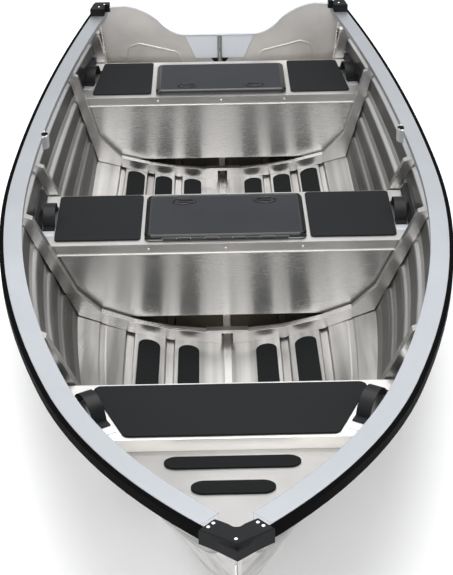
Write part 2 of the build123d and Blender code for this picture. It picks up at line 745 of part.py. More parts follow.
deck_up = (0, math.sin(DECK_TILT), math.cos(DECK_TILT))
DECK_PLANE = Plane(origin=(0, DECK_Y0, DECK_Z0), x_dir=(1, 0, 0), z_dir=deck_up)
with BuildPart() as deck_pads:
    with BuildSketch(DECK_PLANE.offset(SEAT_GAP)):
        for y, length, width in DECK_PADS:
            with Locations((0, (y - DECK_Y0) / math.cos(DECK_TILT))):
                SlotOverall(length, width)
    extrude(amount=PAD_T)
save(deck_pads.part, "deck_pads")

# Pads on the benches, their outer corners set in from the gunwale's edge
PAD_EDGES = {"mid": (152, 148), "aft": (117, 92)}
PAD_INNER = {"mid": 317.0, "aft": 324.0}
PAD_FWD = {"mid": 34.0, "aft": 36.0}
PAD_AFT = {"mid": 12.0, "aft": 17.0}
PAD_R = 16.0
FRONT_PAD = [(316, -1203), (-316, -1203), (-434, -943), (434, -943)]
FRONT_PAD_R = 24.0


def pad(pts, r):
    with BuildPart() as slab:
        with BuildSketch(Plane.XY.offset(BENCH_Z + SEAT_GAP)) as outline:
            with BuildLine():
                Polyline(*pts, close=True)
            make_face()
            fillet(outline.vertices(), r)
        extrude(amount=PAD_T)
    return slab.part


for name in ("mid", "aft"):
    ya, yb = BENCHES[name][0] + PAD_FWD[name], BENCHES[name][1] - PAD_AFT[name]
    fwd_in, aft_in = PAD_EDGES[name]
    inner = PAD_INNER[name]
    corners = [(sheer_x(ya) - fwd_in, ya), (inner, ya), (inner, yb), (sheer_x(yb) - aft_in, yb)]
    port_pad = pad(corners, PAD_R)
    save(port_pad + mirror(port_pad, about=Plane.YZ), name + "_bench_pads")
save(pad(FRONT_PAD, FRONT_PAD_R), "front_bench_pad")

# Pads on the floor: x, forward end, aft end, width
FLOOR_PADS = [
    (146, -900, -98, 78),
    (293, -900, -98, 80),
    (141, 440, 1336, 80),
    (275, 440, 1336, 78),
    (402, 440, 1336, 78),
]
with BuildPart() as floor_pads:
    with BuildSketch(Plane.XY.offset(-200)):
        for x, fwd, aft, width in FLOOR_PADS:
            with Locations((x, (fwd + aft) / 2)):
                SlotOverall(aft - fwd, width, rotation=90)
    extrude(amount=400)
    add(ROOM, mode=Mode.INTERSECT)
    add(PAD_ROOM, mode=Mode.SUBTRACT)
    mirror(about=Plane.YZ)
save(floor_pads.part, "floor_pads")

# Rubber strips on the hull sides along the bench ends
STRIP_END = 10.0
STRIP_LIFT = 7.0
STRIP_HIGH = 30.0
half_lining = loft_half(STATIONS, lining_half)
lining = half_lining + mirror(half_lining, about=Plane.YZ)
with BuildPart() as side_strips:
    for y0, y1, _ in BENCHES.values():
        with Locations((0, (y0 + y1) / 2, BENCH_Z + STRIP_LIFT + STRIP_HIGH / 2)):
            Box(2 * WIDE, y1 - y0 - 2 * STRIP_END, STRIP_HIGH)
    add(lining, mode=Mode.INTERSECT)
    add(PAD_ROOM, mode=Mode.SUBTRACT)
save(side_strips.part, "side_strips")

# Frames, each a pair of side ribs, with floor ribs at two of them
RIB_DEEP = 42.0
RIB_W = 30.0
RIB_TOP = 36.0
RIB_OFF = 24.0            # middle of a frame from the bench's edge
GUSSET_X = 472.0
GUSSET_Z = 150.0
FREE_FOOT_Z = 20.0
RIB_IN = 22.0             # where a floor rib starts beside the keel
SPLICE_X = 80.0
SPLICE_T = 6.0
F_FRONT = BENCHES["front"][1] + RIB_OFF
F_MID = BENCHES["mid"][0] - RIB_OFF
F_MID_AFT = BENCHES["mid"][1] + RIB_OFF
F_AFT = BENCHES["aft"][0] - RIB_OFF
F_STERN = BENCHES["aft"][1] + RIB_OFF
FLOOR_FRAMES = (F_MID, F_AFT)
SIDE_FRAMES = [
    (F_FRONT, -140),
    (F_MID, GUSSET_Z),
    (F_MID_AFT, FREE_FOOT_Z),
    (F_AFT, GUSSET_Z),
    (F_STERN, FREE_FOOT_Z),
]


def rib_lines(y):
    out = offset_line(knots_at(y), -12.0)
    inn = offset_line(knots_at(y), RIB_DEEP + SKIN + 3.0)
    return out, inn


def xz_block(pts, y, width):
    """Slab of one frame: the outline pts in (x, z), centred on y."""
    with BuildPart() as block:
        with BuildSketch(Plane(origin=(0, y + width / 2, 0), x_dir=(1, 0, 0), z_dir=(0, -1, 0))):
            with BuildLine():
                Polyline(*pts, close=True)
            make_face()
        extrude(amount=width)
    return block.part


def cut_at_z(p, q, z):
    return along(p, q, (z - p[1]) / (q[1] - p[1]))


def cut_at_x(pts, x):
    for p, q in zip(pts, pts[1:]):
        if p[0] <= x <= q[0]:
            return along(p, q, (x - p[0]) / (q[0] - p[0]))
    return pts[-1]


def side_rib(y, foot_z):
    out, inn = rib_lines(y)
    top = sheer_z(y) - RIB_TOP
    foot = max(foot_z, inn[3][1])
    a, b = cut_at_z(out[3], out[4], foot), cut_at_z(out[3], out[4], top)
    c, d = cut_at_z(inn[3], inn[4], top - 26), cut_at_z(inn[3], inn[4], foot)
    return xz_block([a, b, (b[0] - 16, top), c, d], y, RIB_W)


def floor_rib(y):
    out, inn = rib_lines(y)
    low = out[0][1] - 10
    start, end = cut_at_x(inn, RIB_IN), cut_at_x(inn, GUSSET_X)
    return xz_block([(RIB_IN, low), (GUSSET_X, low), end, inn[2], inn[1], start], y, RIB_W)


def chine_gusset(y):
    inn = rib_lines(y)[1]
    x, top = GUSSET_X + SEAT_GAP, GUSSET_Z - SEAT_GAP
    pts = [(x, -120), (700, -120), (700, top), cut_at_z(inn[3], inn[4], top), cut_at_x(inn, x)]
    return xz_block(pts, y, RIB_W - 8)


def splice(y):
    inn = rib_lines(y)[1]
    z_out, z_in = cut_at_x(inn, SPLICE_X)[1], cut_at_x(inn, RIB_IN)[1]
    low = [(0, z_in + SEAT_GAP), (RIB_IN, z_in + SEAT_GAP), (SPLICE_X, z_out + SEAT_GAP)]
    return xz_block(low + [(SPLICE_X, z_out + SPLICE_T), (0, z_out + SPLICE_T)], y, RIB_W)


def fitted(blanks, trim):
    """Port pieces cut to the room in the hull, and their mirror images."""
    with BuildPart() as pieces:
        for blank in blanks:
            add(blank)
        if trim:
            add(ROOM, mode=Mode.INTERSECT)
        mirror(about=Plane.YZ)
    return pieces.part


save(fitted([side_rib(y, foot_z) for y, foot_z in SIDE_FRAMES], True), "side_ribs")
save(fitted([floor_rib(y) for y in FLOOR_FRAMES], True), "floor_ribs")
save(fitted([chine_gusset(y) for y in FLOOR_FRAMES], True), "chine_gussets")
save(fitted([splice(y) for y in FLOOR_FRAMES], False), "splice_brackets")

# Strap handles at the bench ends: distance in from the gunwale's edge, y, heading
STRAP_L = 190.0
STRAP_W = 45.0
STRAP_T = 4.0
STRAP_H = 62.0
STRAP_FOOT = 26.0
FOOT_PLATE_T = 1.6
FOOT_PLATE_MORE = 36.0    # length of the forward plate ahead of the strap
STRAPS = [(175.0, -1072, 29.0), (128.0, 190, 0.5), (79.0, 1640, -7.2)]


def strap_plane(inset, y, heading, lift):
    """Plane that looks across a strap, with its x along the strap towards the stern."""
    d = math.radians(heading)
    origin = (sheer_x(y) - inset, y, BENCH_Z + SEAT_GAP + lift)
    return Plane(origin=origin, x_dir=(math.sin(d), math.cos(d), 0), z_dir=(math.cos(d), -math.sin(d), 0))


def strap(inset, y, heading):
    end, foot, t, high = STRAP_L / 2, STRAP_FOOT, STRAP_T, STRAP_H
    base = strap_plane(inset, y, heading, FOOT_PLATE_T + SEAT_GAP)
    with BuildPart() as piece:
        with BuildSketch(base.offset(-STRAP_W / 2)):
            with BuildLine():
                Polyline((foot - end, t), (-end, t), (-end, 0), (foot + t - end, 0))
                ThreePointArc((foot + t - end, 0), (0, high - t), (end - foot - t, 0))
                Polyline((end - foot - t, 0), (end, 0), (end, t), (end - foot, t))
                ThreePointArc((end - foot, t), (0, high), (foot - end, t))
            make_face()
        extrude(amount=STRAP_W)
    return piece.part


def strap_feet(inset, y, heading):
    end, t = STRAP_L / 2, FOOT_PLATE_T
    base = strap_plane(inset, y, heading, 0)
    with BuildPart() as plates:
        with BuildSketch(base.offset(-STRAP_W / 2)):
            with Locations((-end + (STRAP_FOOT - FOOT_PLATE_MORE) / 2, t / 2)):
                Rectangle(STRAP_FOOT + FOOT_PLATE_MORE, t)
            with Locations((end - STRAP_FOOT / 2, t / 2)):
                Rectangle(STRAP_FOOT, t)
        extrude(amount=STRAP_W)
    return plates.part


save(fitted([strap(*row) for row in STRAPS], False), "strap_handles")
save(fitted([strap_feet(*row) for row in STRAPS], False), "strap_plates")

# Rowlock sockets on the gunwales' inner lips
SOCKET_Y = 588.0
SOCKET_R = 6.6
SOCKET_H = 52.0
SOCKET_X = sheer_x(SOCKET_Y) - GUN_W - 9.0
lip_fwd = sheer_x(SOCKET_Y - 34) - GUN_W - 0.4
lip_aft = sheer_x(SOCKET_Y + 34) - GUN_W - 0.4
SOCKET_PLAN = [
    (lip_fwd, SOCKET_Y - 34),
    (lip_aft, SOCKET_Y + 34),
    (SOCKET_X - 6, SOCKET_Y + 24),
    (SOCKET_X - 14, SOCKET_Y + 10),
    (SOCKET_X - 14, SOCKET_Y - 10),
    (SOCKET_X - 6, SOCKET_Y - 24),
]
with BuildPart() as rowlock_sockets:
    with BuildSketch(Plane.XY.offset(sheer_z(SOCKET_Y) - SOCKET_H)):
        with BuildLine():
            Polyline(*SOCKET_PLAN, close=True)
        make_face()
        with Locations((SOCKET_X, SOCKET_Y)):
            Circle(SOCKET_R, mode=Mode.SUBTRACT)
    extrude(amount=SOCKET_H)
    mirror(about=Plane.YZ)
save(rowlock_sockets.part, "rowlock_sockets")
print("rowlock", SOCKET_X, SOCKET_Y, sheer_z(SOCKET_Y) - SOCKET_H / 2)

# Bow eye square to the stem
EYE_R = 4.0
EYE_Z = 470.0
EYE_REACH = 48.0
EYE_HALF = 15.0
eye_y = STEM_FOOT_Y - (EYE_Z - STEM_FOOT_Z) / math.tan(STEM)
eye_foot = STRIP_T + 1
EYE_PLANE = Plane(origin=(0, eye_y, EYE_Z), x_dir=(0, -math.sin(STEM), -math.cos(STEM)), z_dir=(1, 0, 0))
eye_start = EYE_PLANE.from_local_coords((eye_foot, EYE_HALF, 0))
with BuildPart() as bow_eye:
    with BuildLine(EYE_PLANE) as eye_path:
        Line((eye_foot, EYE_HALF), (EYE_REACH, EYE_HALF))
        ThreePointArc((EYE_REACH, EYE_HALF), (EYE_REACH + EYE_HALF, 0), (EYE_REACH, -EYE_HALF))
        Line((EYE_REACH, -EYE_HALF), (eye_foot, -EYE_HALF))
    with BuildSketch(Plane(origin=eye_start, z_dir=EYE_PLANE.x_dir)):
        Circle(EYE_R)
    sweep(path=eye_path.wires()[0])
save(bow_eye.part, "bow_eye")

# Hatches: a frame in the bench and a lid hinged on one long edge
FRAME_T = 4.0
NECK_W = 7.0
NECK_D = 26.0
NECK_GAP = 0.6            # both sides together
LID_GAP = 1.0
LID_T = 14.0
LID_BEVEL = 7.0
LID_R = 26.0
MOUTH_R = 18.0
PIN_R = 2.0
BARREL_R = 4.5
BARREL_N = 9
BARREL_L = 52.0
BARREL_GAP = 1.0
LATCH_X = 152.0
LATCH_IN = 64.0
LATCH_L = 84.0
LATCH_W = 40.0
LATCH_SINK = 5.0
HINGE_SIDE = {"mid": -1, "aft": 1}


def barrels(cells, pin_y, pin_z, web_at, web_size):
    """Hinge knuckles round the pin at the given places, each with its web."""
    with BuildPart() as row:
        for x in cells:
            with BuildSketch(Plane.YZ.offset(x - (BARREL_L - BARREL_GAP) / 2)):
                with Locations((pin_y, pin_z)):
                    Circle(BARREL_R)
                with Locations(web_at):
                    Rectangle(*web_size)
            extrude(amount=BARREL_L - BARREL_GAP)
    return row.part


def pin_bar(pin_y, pin_z, radius, length):
    with BuildPart() as bar:
        with Locations(Location((0, pin_y, pin_z), (0, 90, 0))):
            Cylinder(radius, length)
    return bar.part


def hatch(name):
    side = HINGE_SIDE[name]
    yc = BENCHES[name][2] + HATCH_D / 2
    zb = BENCH_Z + SEAT_GAP
    z_lid = zb + FRAME_T + LID_GAP
    z_top = z_lid + LID_T
    pin_y = yc + side * (HATCH_D / 2 - BARREL_R - 0.5)
    pin_z = z_lid + BARREL_R
    near = pin_y - side * (BARREL_R + 1.0)
    far = yc - side * HATCH_D / 2
    latch_y = far + side * LATCH_IN
    mouth = (OPEN_W - 2 * NECK_W - NECK_GAP, OPEN_D - 2 * NECK_W - NECK_GAP)
    pin_l = BARREL_N * BARREL_L
    cells = [BARREL_L * (i + 0.5) - pin_l / 2 for i in range(BARREL_N)]
    on_frame = barrels(cells[::2], pin_y, pin_z, (pin_y, (pin_z + zb) / 2), (BARREL_R * 1.2, pin_z - zb))
    web_y = (pin_y + near) / 2 - side * 2
    on_lid = barrels(cells[1::2], pin_y, pin_z, (web_y, pin_z + 0.5), (abs(pin_y - near) + 4, 5))
    frame_bore = pin_bar(pin_y, pin_z, PIN_R + 0.05, pin_l + 150)
    lid_bore = pin_bar(pin_y, pin_z, PIN_R + SEAT_GAP, pin_l + 150)
    with BuildPart() as frame:
        with BuildSketch(Plane.XY.offset(zb)):
            with Locations((0, yc)):
                RectangleRounded(HATCH_W, HATCH_D, LID_R)
                RectangleRounded(*mouth, MOUTH_R, mode=Mode.SUBTRACT)
        extrude(amount=FRAME_T)
        with BuildSketch(Plane.XY.offset(zb)):
            with Locations((0, yc)):
                Rectangle(OPEN_W - NECK_GAP, OPEN_D - NECK_GAP)
                RectangleRounded(*mouth, MOUTH_R, mode=Mode.SUBTRACT)
        extrude(amount=-NECK_D)
        add(on_frame)
        add(frame_bore, mode=Mode.SUBTRACT)
    save(frame.part, name + "_hatch_frame")
    with BuildPart() as lid:
        with BuildSketch(Plane.XY.offset(z_lid)):
            with Locations((0, (near + far) / 2)):
                RectangleRounded(HATCH_W, abs(near - far), LID_R)
        extrude(amount=LID_T)
        chamfer(lid.faces().sort_by(Axis.Z)[-1].edges(), LID_BEVEL)
        with BuildSketch(Plane.XY.offset(z_top)):
            with Locations((-LATCH_X, latch_y), (LATCH_X, latch_y)):
                SlotOverall(LATCH_L + 4, LATCH_W + 4)
        extrude(amount=-LATCH_SINK, mode=Mode.SUBTRACT)
        add(on_lid)
        add(lid_bore, mode=Mode.SUBTRACT)
    save(lid.part, name + "_hatch_lid")
    save(pin_bar(pin_y, pin_z, PIN_R, pin_l), name + "_hatch_pin")
    with BuildPart() as latches:
        with BuildSketch(Plane.XY.offset(z_top - LATCH_SINK + SEAT_GAP)):
            with Locations((-LATCH_X, latch_y), (LATCH_X, latch_y)):
                SlotOverall(LATCH_L, LATCH_W)
                SlotOverall(LATCH_L - 22, LATCH_W - 18, mode=Mode.SUBTRACT)
                Rectangle(LATCH_L - 22, 9)
        extrude(amount=LATCH_SINK)
    save(latches.part, name + "_hatch_latches")
    print(name, "hinge", pin_y, pin_z)


hatch("mid")
hatch("aft")
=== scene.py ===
import bpy
import bmesh
import math
import random
from mathutils import Matrix, Vector


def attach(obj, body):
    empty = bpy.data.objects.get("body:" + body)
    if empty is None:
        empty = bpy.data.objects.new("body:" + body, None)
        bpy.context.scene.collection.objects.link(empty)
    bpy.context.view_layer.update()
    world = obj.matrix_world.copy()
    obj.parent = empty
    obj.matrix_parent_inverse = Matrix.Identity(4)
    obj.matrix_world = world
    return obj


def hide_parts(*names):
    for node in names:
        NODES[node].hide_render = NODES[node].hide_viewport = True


# Aluminium boat. Metres: bow towards -Y, port +X, +Z up, waterline at z = 0.
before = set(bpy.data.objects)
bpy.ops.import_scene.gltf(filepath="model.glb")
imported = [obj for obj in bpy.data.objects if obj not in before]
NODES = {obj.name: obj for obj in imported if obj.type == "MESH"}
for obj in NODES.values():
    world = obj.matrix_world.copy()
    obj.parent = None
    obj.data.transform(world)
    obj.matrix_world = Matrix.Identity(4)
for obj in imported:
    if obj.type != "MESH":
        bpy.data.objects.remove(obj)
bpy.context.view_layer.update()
SCENE = bpy.context.scene

# Camera, recovered from the photograph
IMAGE_LONG_SIDE = 575
FOCAL_PX = 1327.02
PITCH, ROLL, YAW = (math.radians(v) for v in (30.417, -0.9002, -0.4323))
CAM_AT = Vector((-0.0324, -4.3322, 2.6699))


def make_camera():
    right0 = Vector((math.cos(YAW), math.sin(YAW), 0))
    level = Vector((-math.sin(YAW), math.cos(YAW), 0))
    ahead = level * math.cos(PITCH) - Vector((0, 0, math.sin(PITCH)))
    up0 = right0.cross(ahead)
    right = right0 * math.cos(ROLL) + up0 * math.sin(ROLL)
    up = up0 * math.cos(ROLL) - right0 * math.sin(ROLL)
    data = bpy.data.cameras.new("camera")
    data.sensor_width = 36
    data.lens = FOCAL_PX / IMAGE_LONG_SIDE * data.sensor_width
    obj = bpy.data.objects.new("camera", data)
    SCENE.collection.objects.link(obj)
    place = Matrix((right, up, -ahead)).transposed().to_4x4()
    place.translation = CAM_AT
    obj.matrix_world = place
    SCENE.camera = obj


make_camera()


class Mat:
    """A node material with short hands for noise, ramps, bump and rounded edges."""

    def __init__(self, name, base, rough, metal=0.0):
        self.m = bpy.data.materials.new(name)
        self.m.use_nodes = True
        self.t = self.m.node_tree
        self.b = self.t.nodes["Principled BSDF"]
        self.set("Base Color", (*base, 1))
        self.set("Roughness", rough)
        self.set("Metallic", metal)
        self.coord = self.node("ShaderNodeTexCoord")
        self.normal = None

    def set(self, name, value):
        self.b.inputs[name].default_value = value

    def node(self, kind, **props):
        n = self.t.nodes.new(kind)
        for key, value in props.items():
            setattr(n, key, value)
        return n

    def link(self, a, b):
        self.t.links.new(a, b)

    def put(self, sock, value):
        if isinstance(value, (int, float)):
            sock.default_value = value
        elif isinstance(value, tuple):
            sock.default_value = (*value, 1) if len(value) == 3 else value
        else:
            self.link(value, sock)

    def noise(self, scale, stretch=(1, 1, 1), detail=3.0, rough=0.55):
        mp = self.node("ShaderNodeMapping")
        mp.inputs["Scale"].default_value = stretch
        self.link(self.coord.outputs["Object"], mp.inputs["Vector"])
        n = self.node("ShaderNodeTexNoise")
        n.inputs["Scale"].default_value = scale
        n.inputs["Detail"].default_value = detail
        n.inputs["Roughness"].default_value = rough
        self.link(mp.outputs["Vector"], n.inputs["Vector"])
        return n.outputs["Fac"]

    def ramp(self, fac, stops):
        r = self.node("ShaderNodeValToRGB")
        while len(r.color_ramp.elements) < len(stops):
            r.color_ramp.elements.new(0.5)
        for e, (pos, col) in zip(r.color_ramp.elements, stops):
            e.position = pos
            e.color = (*col, 1)
        self.link(fac, r.inputs["Fac"])
        return r.outputs["Color"]

    def grey(self, fac, lo, hi, a=0.3, b=0.7, smooth=False):
        m = self.node("ShaderNodeMapRange", interpolation_type="SMOOTHSTEP" if smooth else "LINEAR")
        for key, value in (("From Min", a), ("From Max", b), ("To Min", lo), ("To Max", hi)):
            m.inputs[key].default_value = value
        self.link(fac, m.inputs["Value"])
        return m.outputs["Result"]

    def mix(self, fac, a, b):
        m = self.node("ShaderNodeMix", data_type="RGBA", blend_type="MIX")
        for i, value in ((0, fac), (6, a), (7, b)):
            self.put(m.inputs[i], value)
        return m.outputs[2]

    def math(self, op, a, b=0.0):
        m = self.node("ShaderNodeMath", operation=op)
        self.put(m.inputs[0], a)
        self.put(m.inputs[1], b)
        return m.outputs[0]

    def axis(self, name, output="Object"):
        s = self.node("ShaderNodeSeparateXYZ")
        self.link(self.coord.outputs[output], s.inputs[0])
        return s.outputs[name]

    def color(self, sock):
        self.link(sock, self.b.inputs["Base Color"])

    def rough(self, sock):
        self.link(sock, self.b.inputs["Roughness"])

    def bump(self, height, strength, distance):
        n = self.node("ShaderNodeBump")
        n.inputs["Strength"].default_value = strength
        n.inputs["Distance"].default_value = distance
        self.link(height, n.inputs["Height"])
        self.use_normal(n)

    def edge(self, radius):
        n = self.node("ShaderNodeBevel")
        n.samples = 4
        n.inputs["Radius"].default_value = radius
        self.use_normal(n)

    def use_normal(self, n):
        if self.normal is not None:
            self.link(self.normal, n.inputs["Normal"])
        self.normal = n.outputs["Normal"]
        self.link(self.normal, self.b.inputs["Normal"])

    def stretch_shine(self, amount, tangent):
        """Blurs reflections along the tangent, as brushing across it does."""
        v = self.node("ShaderNodeCombineXYZ")
        for sock, value in zip(v.inputs, tangent):
            sock.default_value = value
        self.set("Anisotropic", amount)
        self.link(v.outputs[0], self.b.inputs["Tangent"])


def scaled(base, k):
    return tuple(min(1.0, c * k) for c in base)


def mill(name, base, grain, rough, patchy=0.07, edge=0.0008, lined=0.16):
    """Bare sheet: fine grain lines, patchy oxide and soft smears."""
    m = Mat(name, base, 0.3, 1.0)
    lines = m.noise(16.0, grain, detail=4.0, rough=0.7)
    patch = m.noise(2.3, detail=4.0)
    smear = m.noise(9.0, detail=2.0)
    col = m.ramp(patch, [(0.3, scaled(base, 1 - patchy)), (0.7, scaled(base, 1 + patchy * 0.6))])
    col = m.mix(m.grey(lines, 0.0, lined), col, scaled(base, 0.82))
    m.color(m.mix(m.grey(smear, 0.0, 0.1, 0.5, 0.75), col, scaled(base, 0.75)))
    m.rough(m.math("ADD", m.grey(patch, *rough), m.grey(lines, -0.03, 0.04)))
    m.edge(edge)
    m.bump(lines, lined * 0.2, 0.0005)
    return m


# Chine as (y, z), the sheer's lowest place and its radius in side view
CHINE_LINE = [
    (-1.985, 0.627), (-1.85, 0.462), (-1.7, 0.330), (-1.5, 0.243), (-1.22, 0.172), (-0.94, 0.117),
    (-0.57, 0.074), (0.0, 0.045), (0.7, 0.034), (1.4, 0.025), (2.045, 0.018),
]
SHEER_LOW = (0.925, 0.508)
SHEER_R = 30.75
STRAKES = 5
LINE_Y0, LINE_LENGTH = -2.0, 4.1


def sheer_z(y):
    """Height of the gunwale's top."""
    return SHEER_LOW[1] + (y - SHEER_LOW[0]) ** 2 / (2 * SHEER_R)


def side_sheet_metal():
    """Pressed side sheet: each strake is painted part highlight and part shade, the painted highlight
    brighter towards the sheer.
    """
    m = Mat("mill_side_painted_light", (0.70, 0.70, 0.69), 0.3, 1.0)
    y, z = m.axis("Y"), m.axis("Z")
    along = m.grey(y, 0.0, 1.0, LINE_Y0, LINE_Y0 + LINE_LENGTH)
    stops = [((at - LINE_Y0) / LINE_LENGTH, (height,) * 3) for at, height in CHINE_LINE]
    ramp = m.ramp(along, stops)
    chine = m.node("ShaderNodeSeparateColor")
    m.link(ramp, chine.inputs[0])
    off = m.math("SUBTRACT", y, SHEER_LOW[0])
    rise_to_sheer = m.math("DIVIDE", m.math("MULTIPLY", off, off), 2 * SHEER_R)
    sheer = m.math("ADD", rise_to_sheer, SHEER_LOW[1])
    rise = m.math("SUBTRACT", z, chine.outputs[0])
    share = m.math("DIVIDE", rise, m.math("SUBTRACT", sheer, chine.outputs[0]))
    # Part of each strake is a painted highlight band and the rest painted shade; the bump tilts the same
    # bands.
    u = m.math("FRACT", m.math("MULTIPLY", share, STRAKES))
    up = m.grey(u, 0.0, 1.0, 0.0, 0.07, smooth=True)
    down = m.grey(u, 1.0, 0.0, 0.40, 0.48, smooth=True)
    light = m.math("MULTIPLY", up, down)
    # Painted highlight tones, brighter towards the sheer, and painted shade tones that vary with noise.
    painted_highlight_tones = [(0.1, (0.42, 0.415, 0.405)), (0.5, (0.78, 0.775, 0.765)), (0.95, (0.98, 0.98, 0.98))]
    dark = [(0.3, (0.15, 0.148, 0.143)), (0.7, (0.25, 0.247, 0.24))]
    painted_highlight = m.ramp(share, painted_highlight_tones)
    painted_shade = m.ramp(m.noise(2.6, detail=3.0), dark)
    col = m.mix(light, painted_shade, painted_highlight)
    lines = m.noise(18.0, (30, 0.8, 30), detail=4.0, rough=0.7)
    m.color(m.mix(m.grey(lines, 0.0, 0.14), col, (0.35, 0.35, 0.34)))
    m.rough(m.math("ADD", m.grey(m.noise(3.0), 0.26, 0.4), m.grey(lines, -0.03, 0.04)))
    m.bump(light, 0.5, 0.004)
    m.bump(lines, 0.04, 0.0005)
    return m


# Stretches of the bottom under the two lockers, fore and aft, that get painted shade
PAINTED_SHADE_SPACES = ((-0.012, 0.38), (1.41, 1.835))
PAINTED_SHADE_FADE = 0.02


def bottom_metal():
    """Bottom sheet: light and dark streaks that run fore and aft, with painted shade under the lockers.
    """
    m = Mat("mill_bottom_painted_shade", (0.62, 0.61, 0.60), 0.32, 1.0)
    streak = m.noise(13.0, (1.0, 0.02, 1.0), detail=2.5, rough=0.6)
    lines = m.noise(18.0, (30, 0.8, 30), detail=4.0, rough=0.7)
    patch = m.noise(2.3, detail=4.0)
    tones = [(0.36, (0.34, 0.335, 0.325)), (0.5, (0.60, 0.59, 0.575)), (0.64, (0.80, 0.785, 0.77))]
    col = m.ramp(streak, tones)
    col = m.mix(m.grey(patch, 0.0, 0.25), col, (0.5, 0.49, 0.48))
    col = m.mix(m.grey(lines, 0.0, 0.15), col, (0.4, 0.39, 0.38))
    up = m.grey(m.axis("Z", "Normal"), 0.0, 1.0, 0.0, 0.3)
    # Painted shade: dark brown mixed into the upward faces of the bottom under the lockers.
    for start, end in PAINTED_SHADE_SPACES:
        under = m.math("MULTIPLY", m.grey(m.axis("Y"), 0.0, 1.0, start, start + PAINTED_SHADE_FADE), up)
        under = m.math("MULTIPLY", under, m.grey(m.axis("Y"), 1.0, 0.0, end - PAINTED_SHADE_FADE, end))
        col = m.mix(under, col, (0.07, 0.055, 0.035))
    m.color(col)
    m.rough(m.math("ADD", m.grey(patch, 0.26, 0.4), m.grey(lines, -0.03, 0.04)))
    m.bump(streak, 0.12, 0.004)
    m.bump(lines, 0.04, 0.0005)
    return m


def wall_metal():
    """Brushed locker wall, with upright blurred reflections."""
    m = mill("mill_wall", (0.78, 0.77, 0.755), (1.0, 40, 40), (0.22, 0.28), 0.05, lined=0.04)
    m.stretch_shine(0.9, (0, 0, 1))
    return m


def ribbed_metal(name, base, axis, pitch):
    """Extrusion with long raised lines."""
    m = mill(name, base, (1.0, 30, 30) if axis == "Y" else (30, 1.0, 30), (0.24, 0.34))
    wave = m.math("PINGPONG", m.axis(axis), pitch / 2)
    m.bump(m.grey(wave, 0.0, 1.0, 0.0, pitch / 2, smooth=True), 0.6, 0.0012)
    return m


def anodised(name, base, rough):
    """Satin extrusion, a little darker towards the bow."""
    m = Mat(name, base, rough, 1.0)
    grain = m.noise(22.0, (30, 1.2, 30), detail=3.0)
    patch = m.noise(3.0, detail=3.0)
    col = m.ramp(patch, [(0.3, scaled(base, 0.96)), (0.72, scaled(base, 1.03))])
    forward = m.grey(m.axis("Y"), 1.0, 0.0, -2.0, -0.6, smooth=True)
    m.color(m.mix(forward, col, scaled(base, 0.72)))
    m.rough(m.math("ADD", m.grey(grain, -0.03, 0.05), rough))
    m.edge(0.002)
    m.bump(grain, 0.04, 0.0006)
    return m


def plastic(name, base, rough, grain_scale, strength, specular):
    """Moulded plastic or rubber with a fine grain."""
    m = Mat(name, base, rough)
    m.set("Specular IOR Level", specular)
    grain = m.noise(grain_scale, detail=2.0)
    big = m.noise(5.0, detail=3.0)
    m.color(m.ramp(big, [(0.3, scaled(base, 0.85)), (0.7, scaled(base, 1.15))]))
    m.rough(m.grey(big, rough - 0.05, rough + 0.06))
    m.edge(0.0015)
    m.bump(grain, strength, 0.0004)
    return m


LID_HALF = (0.3025, 0.1778)
LID_RIM = 0.03
LID_CORNER = 0.02


def hatch_moulding(name, middle_y):
    """Slate panel with a glossy black bevelled rim round it."""
    m = Mat(name, (0.03, 0.032, 0.036), 0.3)
    in_x = m.math("SUBTRACT", LID_HALF[0], m.math("ABSOLUTE", m.axis("X")))
    off_y = m.math("ABSOLUTE", m.math("SUBTRACT", m.axis("Y"), middle_y))
    inside = m.math("SMOOTH_MIN", in_x, m.math("SUBTRACT", LID_HALF[1], off_y))
    inside.node.inputs[2].default_value = LID_CORNER
    flat = m.grey(inside, 0.0, 1.0, LID_RIM * 0.55, LID_RIM * 0.8, smooth=True)
    slope = m.grey(inside, 0.0, 1.0, -0.002, LID_RIM * 0.8, smooth=True)
    big = m.noise(4.0, detail=3.0)
    m.link(m.grey(flat, 0.6, 0.12, 0.0, 1.0), m.b.inputs["Specular IOR Level"])
    panel = m.ramp(big, [(0.3, (0.019, 0.021, 0.024)), (0.7, (0.025, 0.027, 0.031))])
    m.color(m.mix(flat, (0.004, 0.004, 0.0045), panel))
    m.rough(m.math("ADD", m.grey(flat, 0.12, 0.42, 0.0, 1.0), m.grey(big, -0.03, 0.03)))
    m.edge(0.0022)
    m.bump(slope, 1.0, 0.012)
    m.bump(m.noise(900, detail=2.0), 0.08, 0.0003)
    return m


def foam(name, base):
    """Closed-cell foam with a faint brushing."""
    m = Mat(name, base, 0.85)
    m.set("Specular IOR Level", 0.12)
    cell = m.noise(1400, detail=2.0, rough=0.8)
    brush = m.noise(160, (1, 12, 1), detail=2.0)
    big = m.noise(3.0, detail=4.0)
    col = m.ramp(big, [(0.3, scaled(base, 0.85)), (0.7, scaled(base, 1.15))])
    m.color(m.mix(m.grey(cell, 0.0, 0.5), col, scaled(base, 1.6)))
    m.rough(m.grey(big, 0.8, 0.92))
    m.edge(0.0016)
    m.bump(brush, 0.08, 0.0006)
    m.bump(cell, 0.3, 0.0005)
    return m


def steel(name, base, lo, hi):
    m = Mat(name, base, lo, 1.0)
    n = m.noise(40, detail=3.0)
    m.rough(m.grey(n, lo, hi))
    m.color(m.ramp(n, [(0.3, scaled(base, 0.92)), (0.7, scaled(base, 1.08))]))
    return m


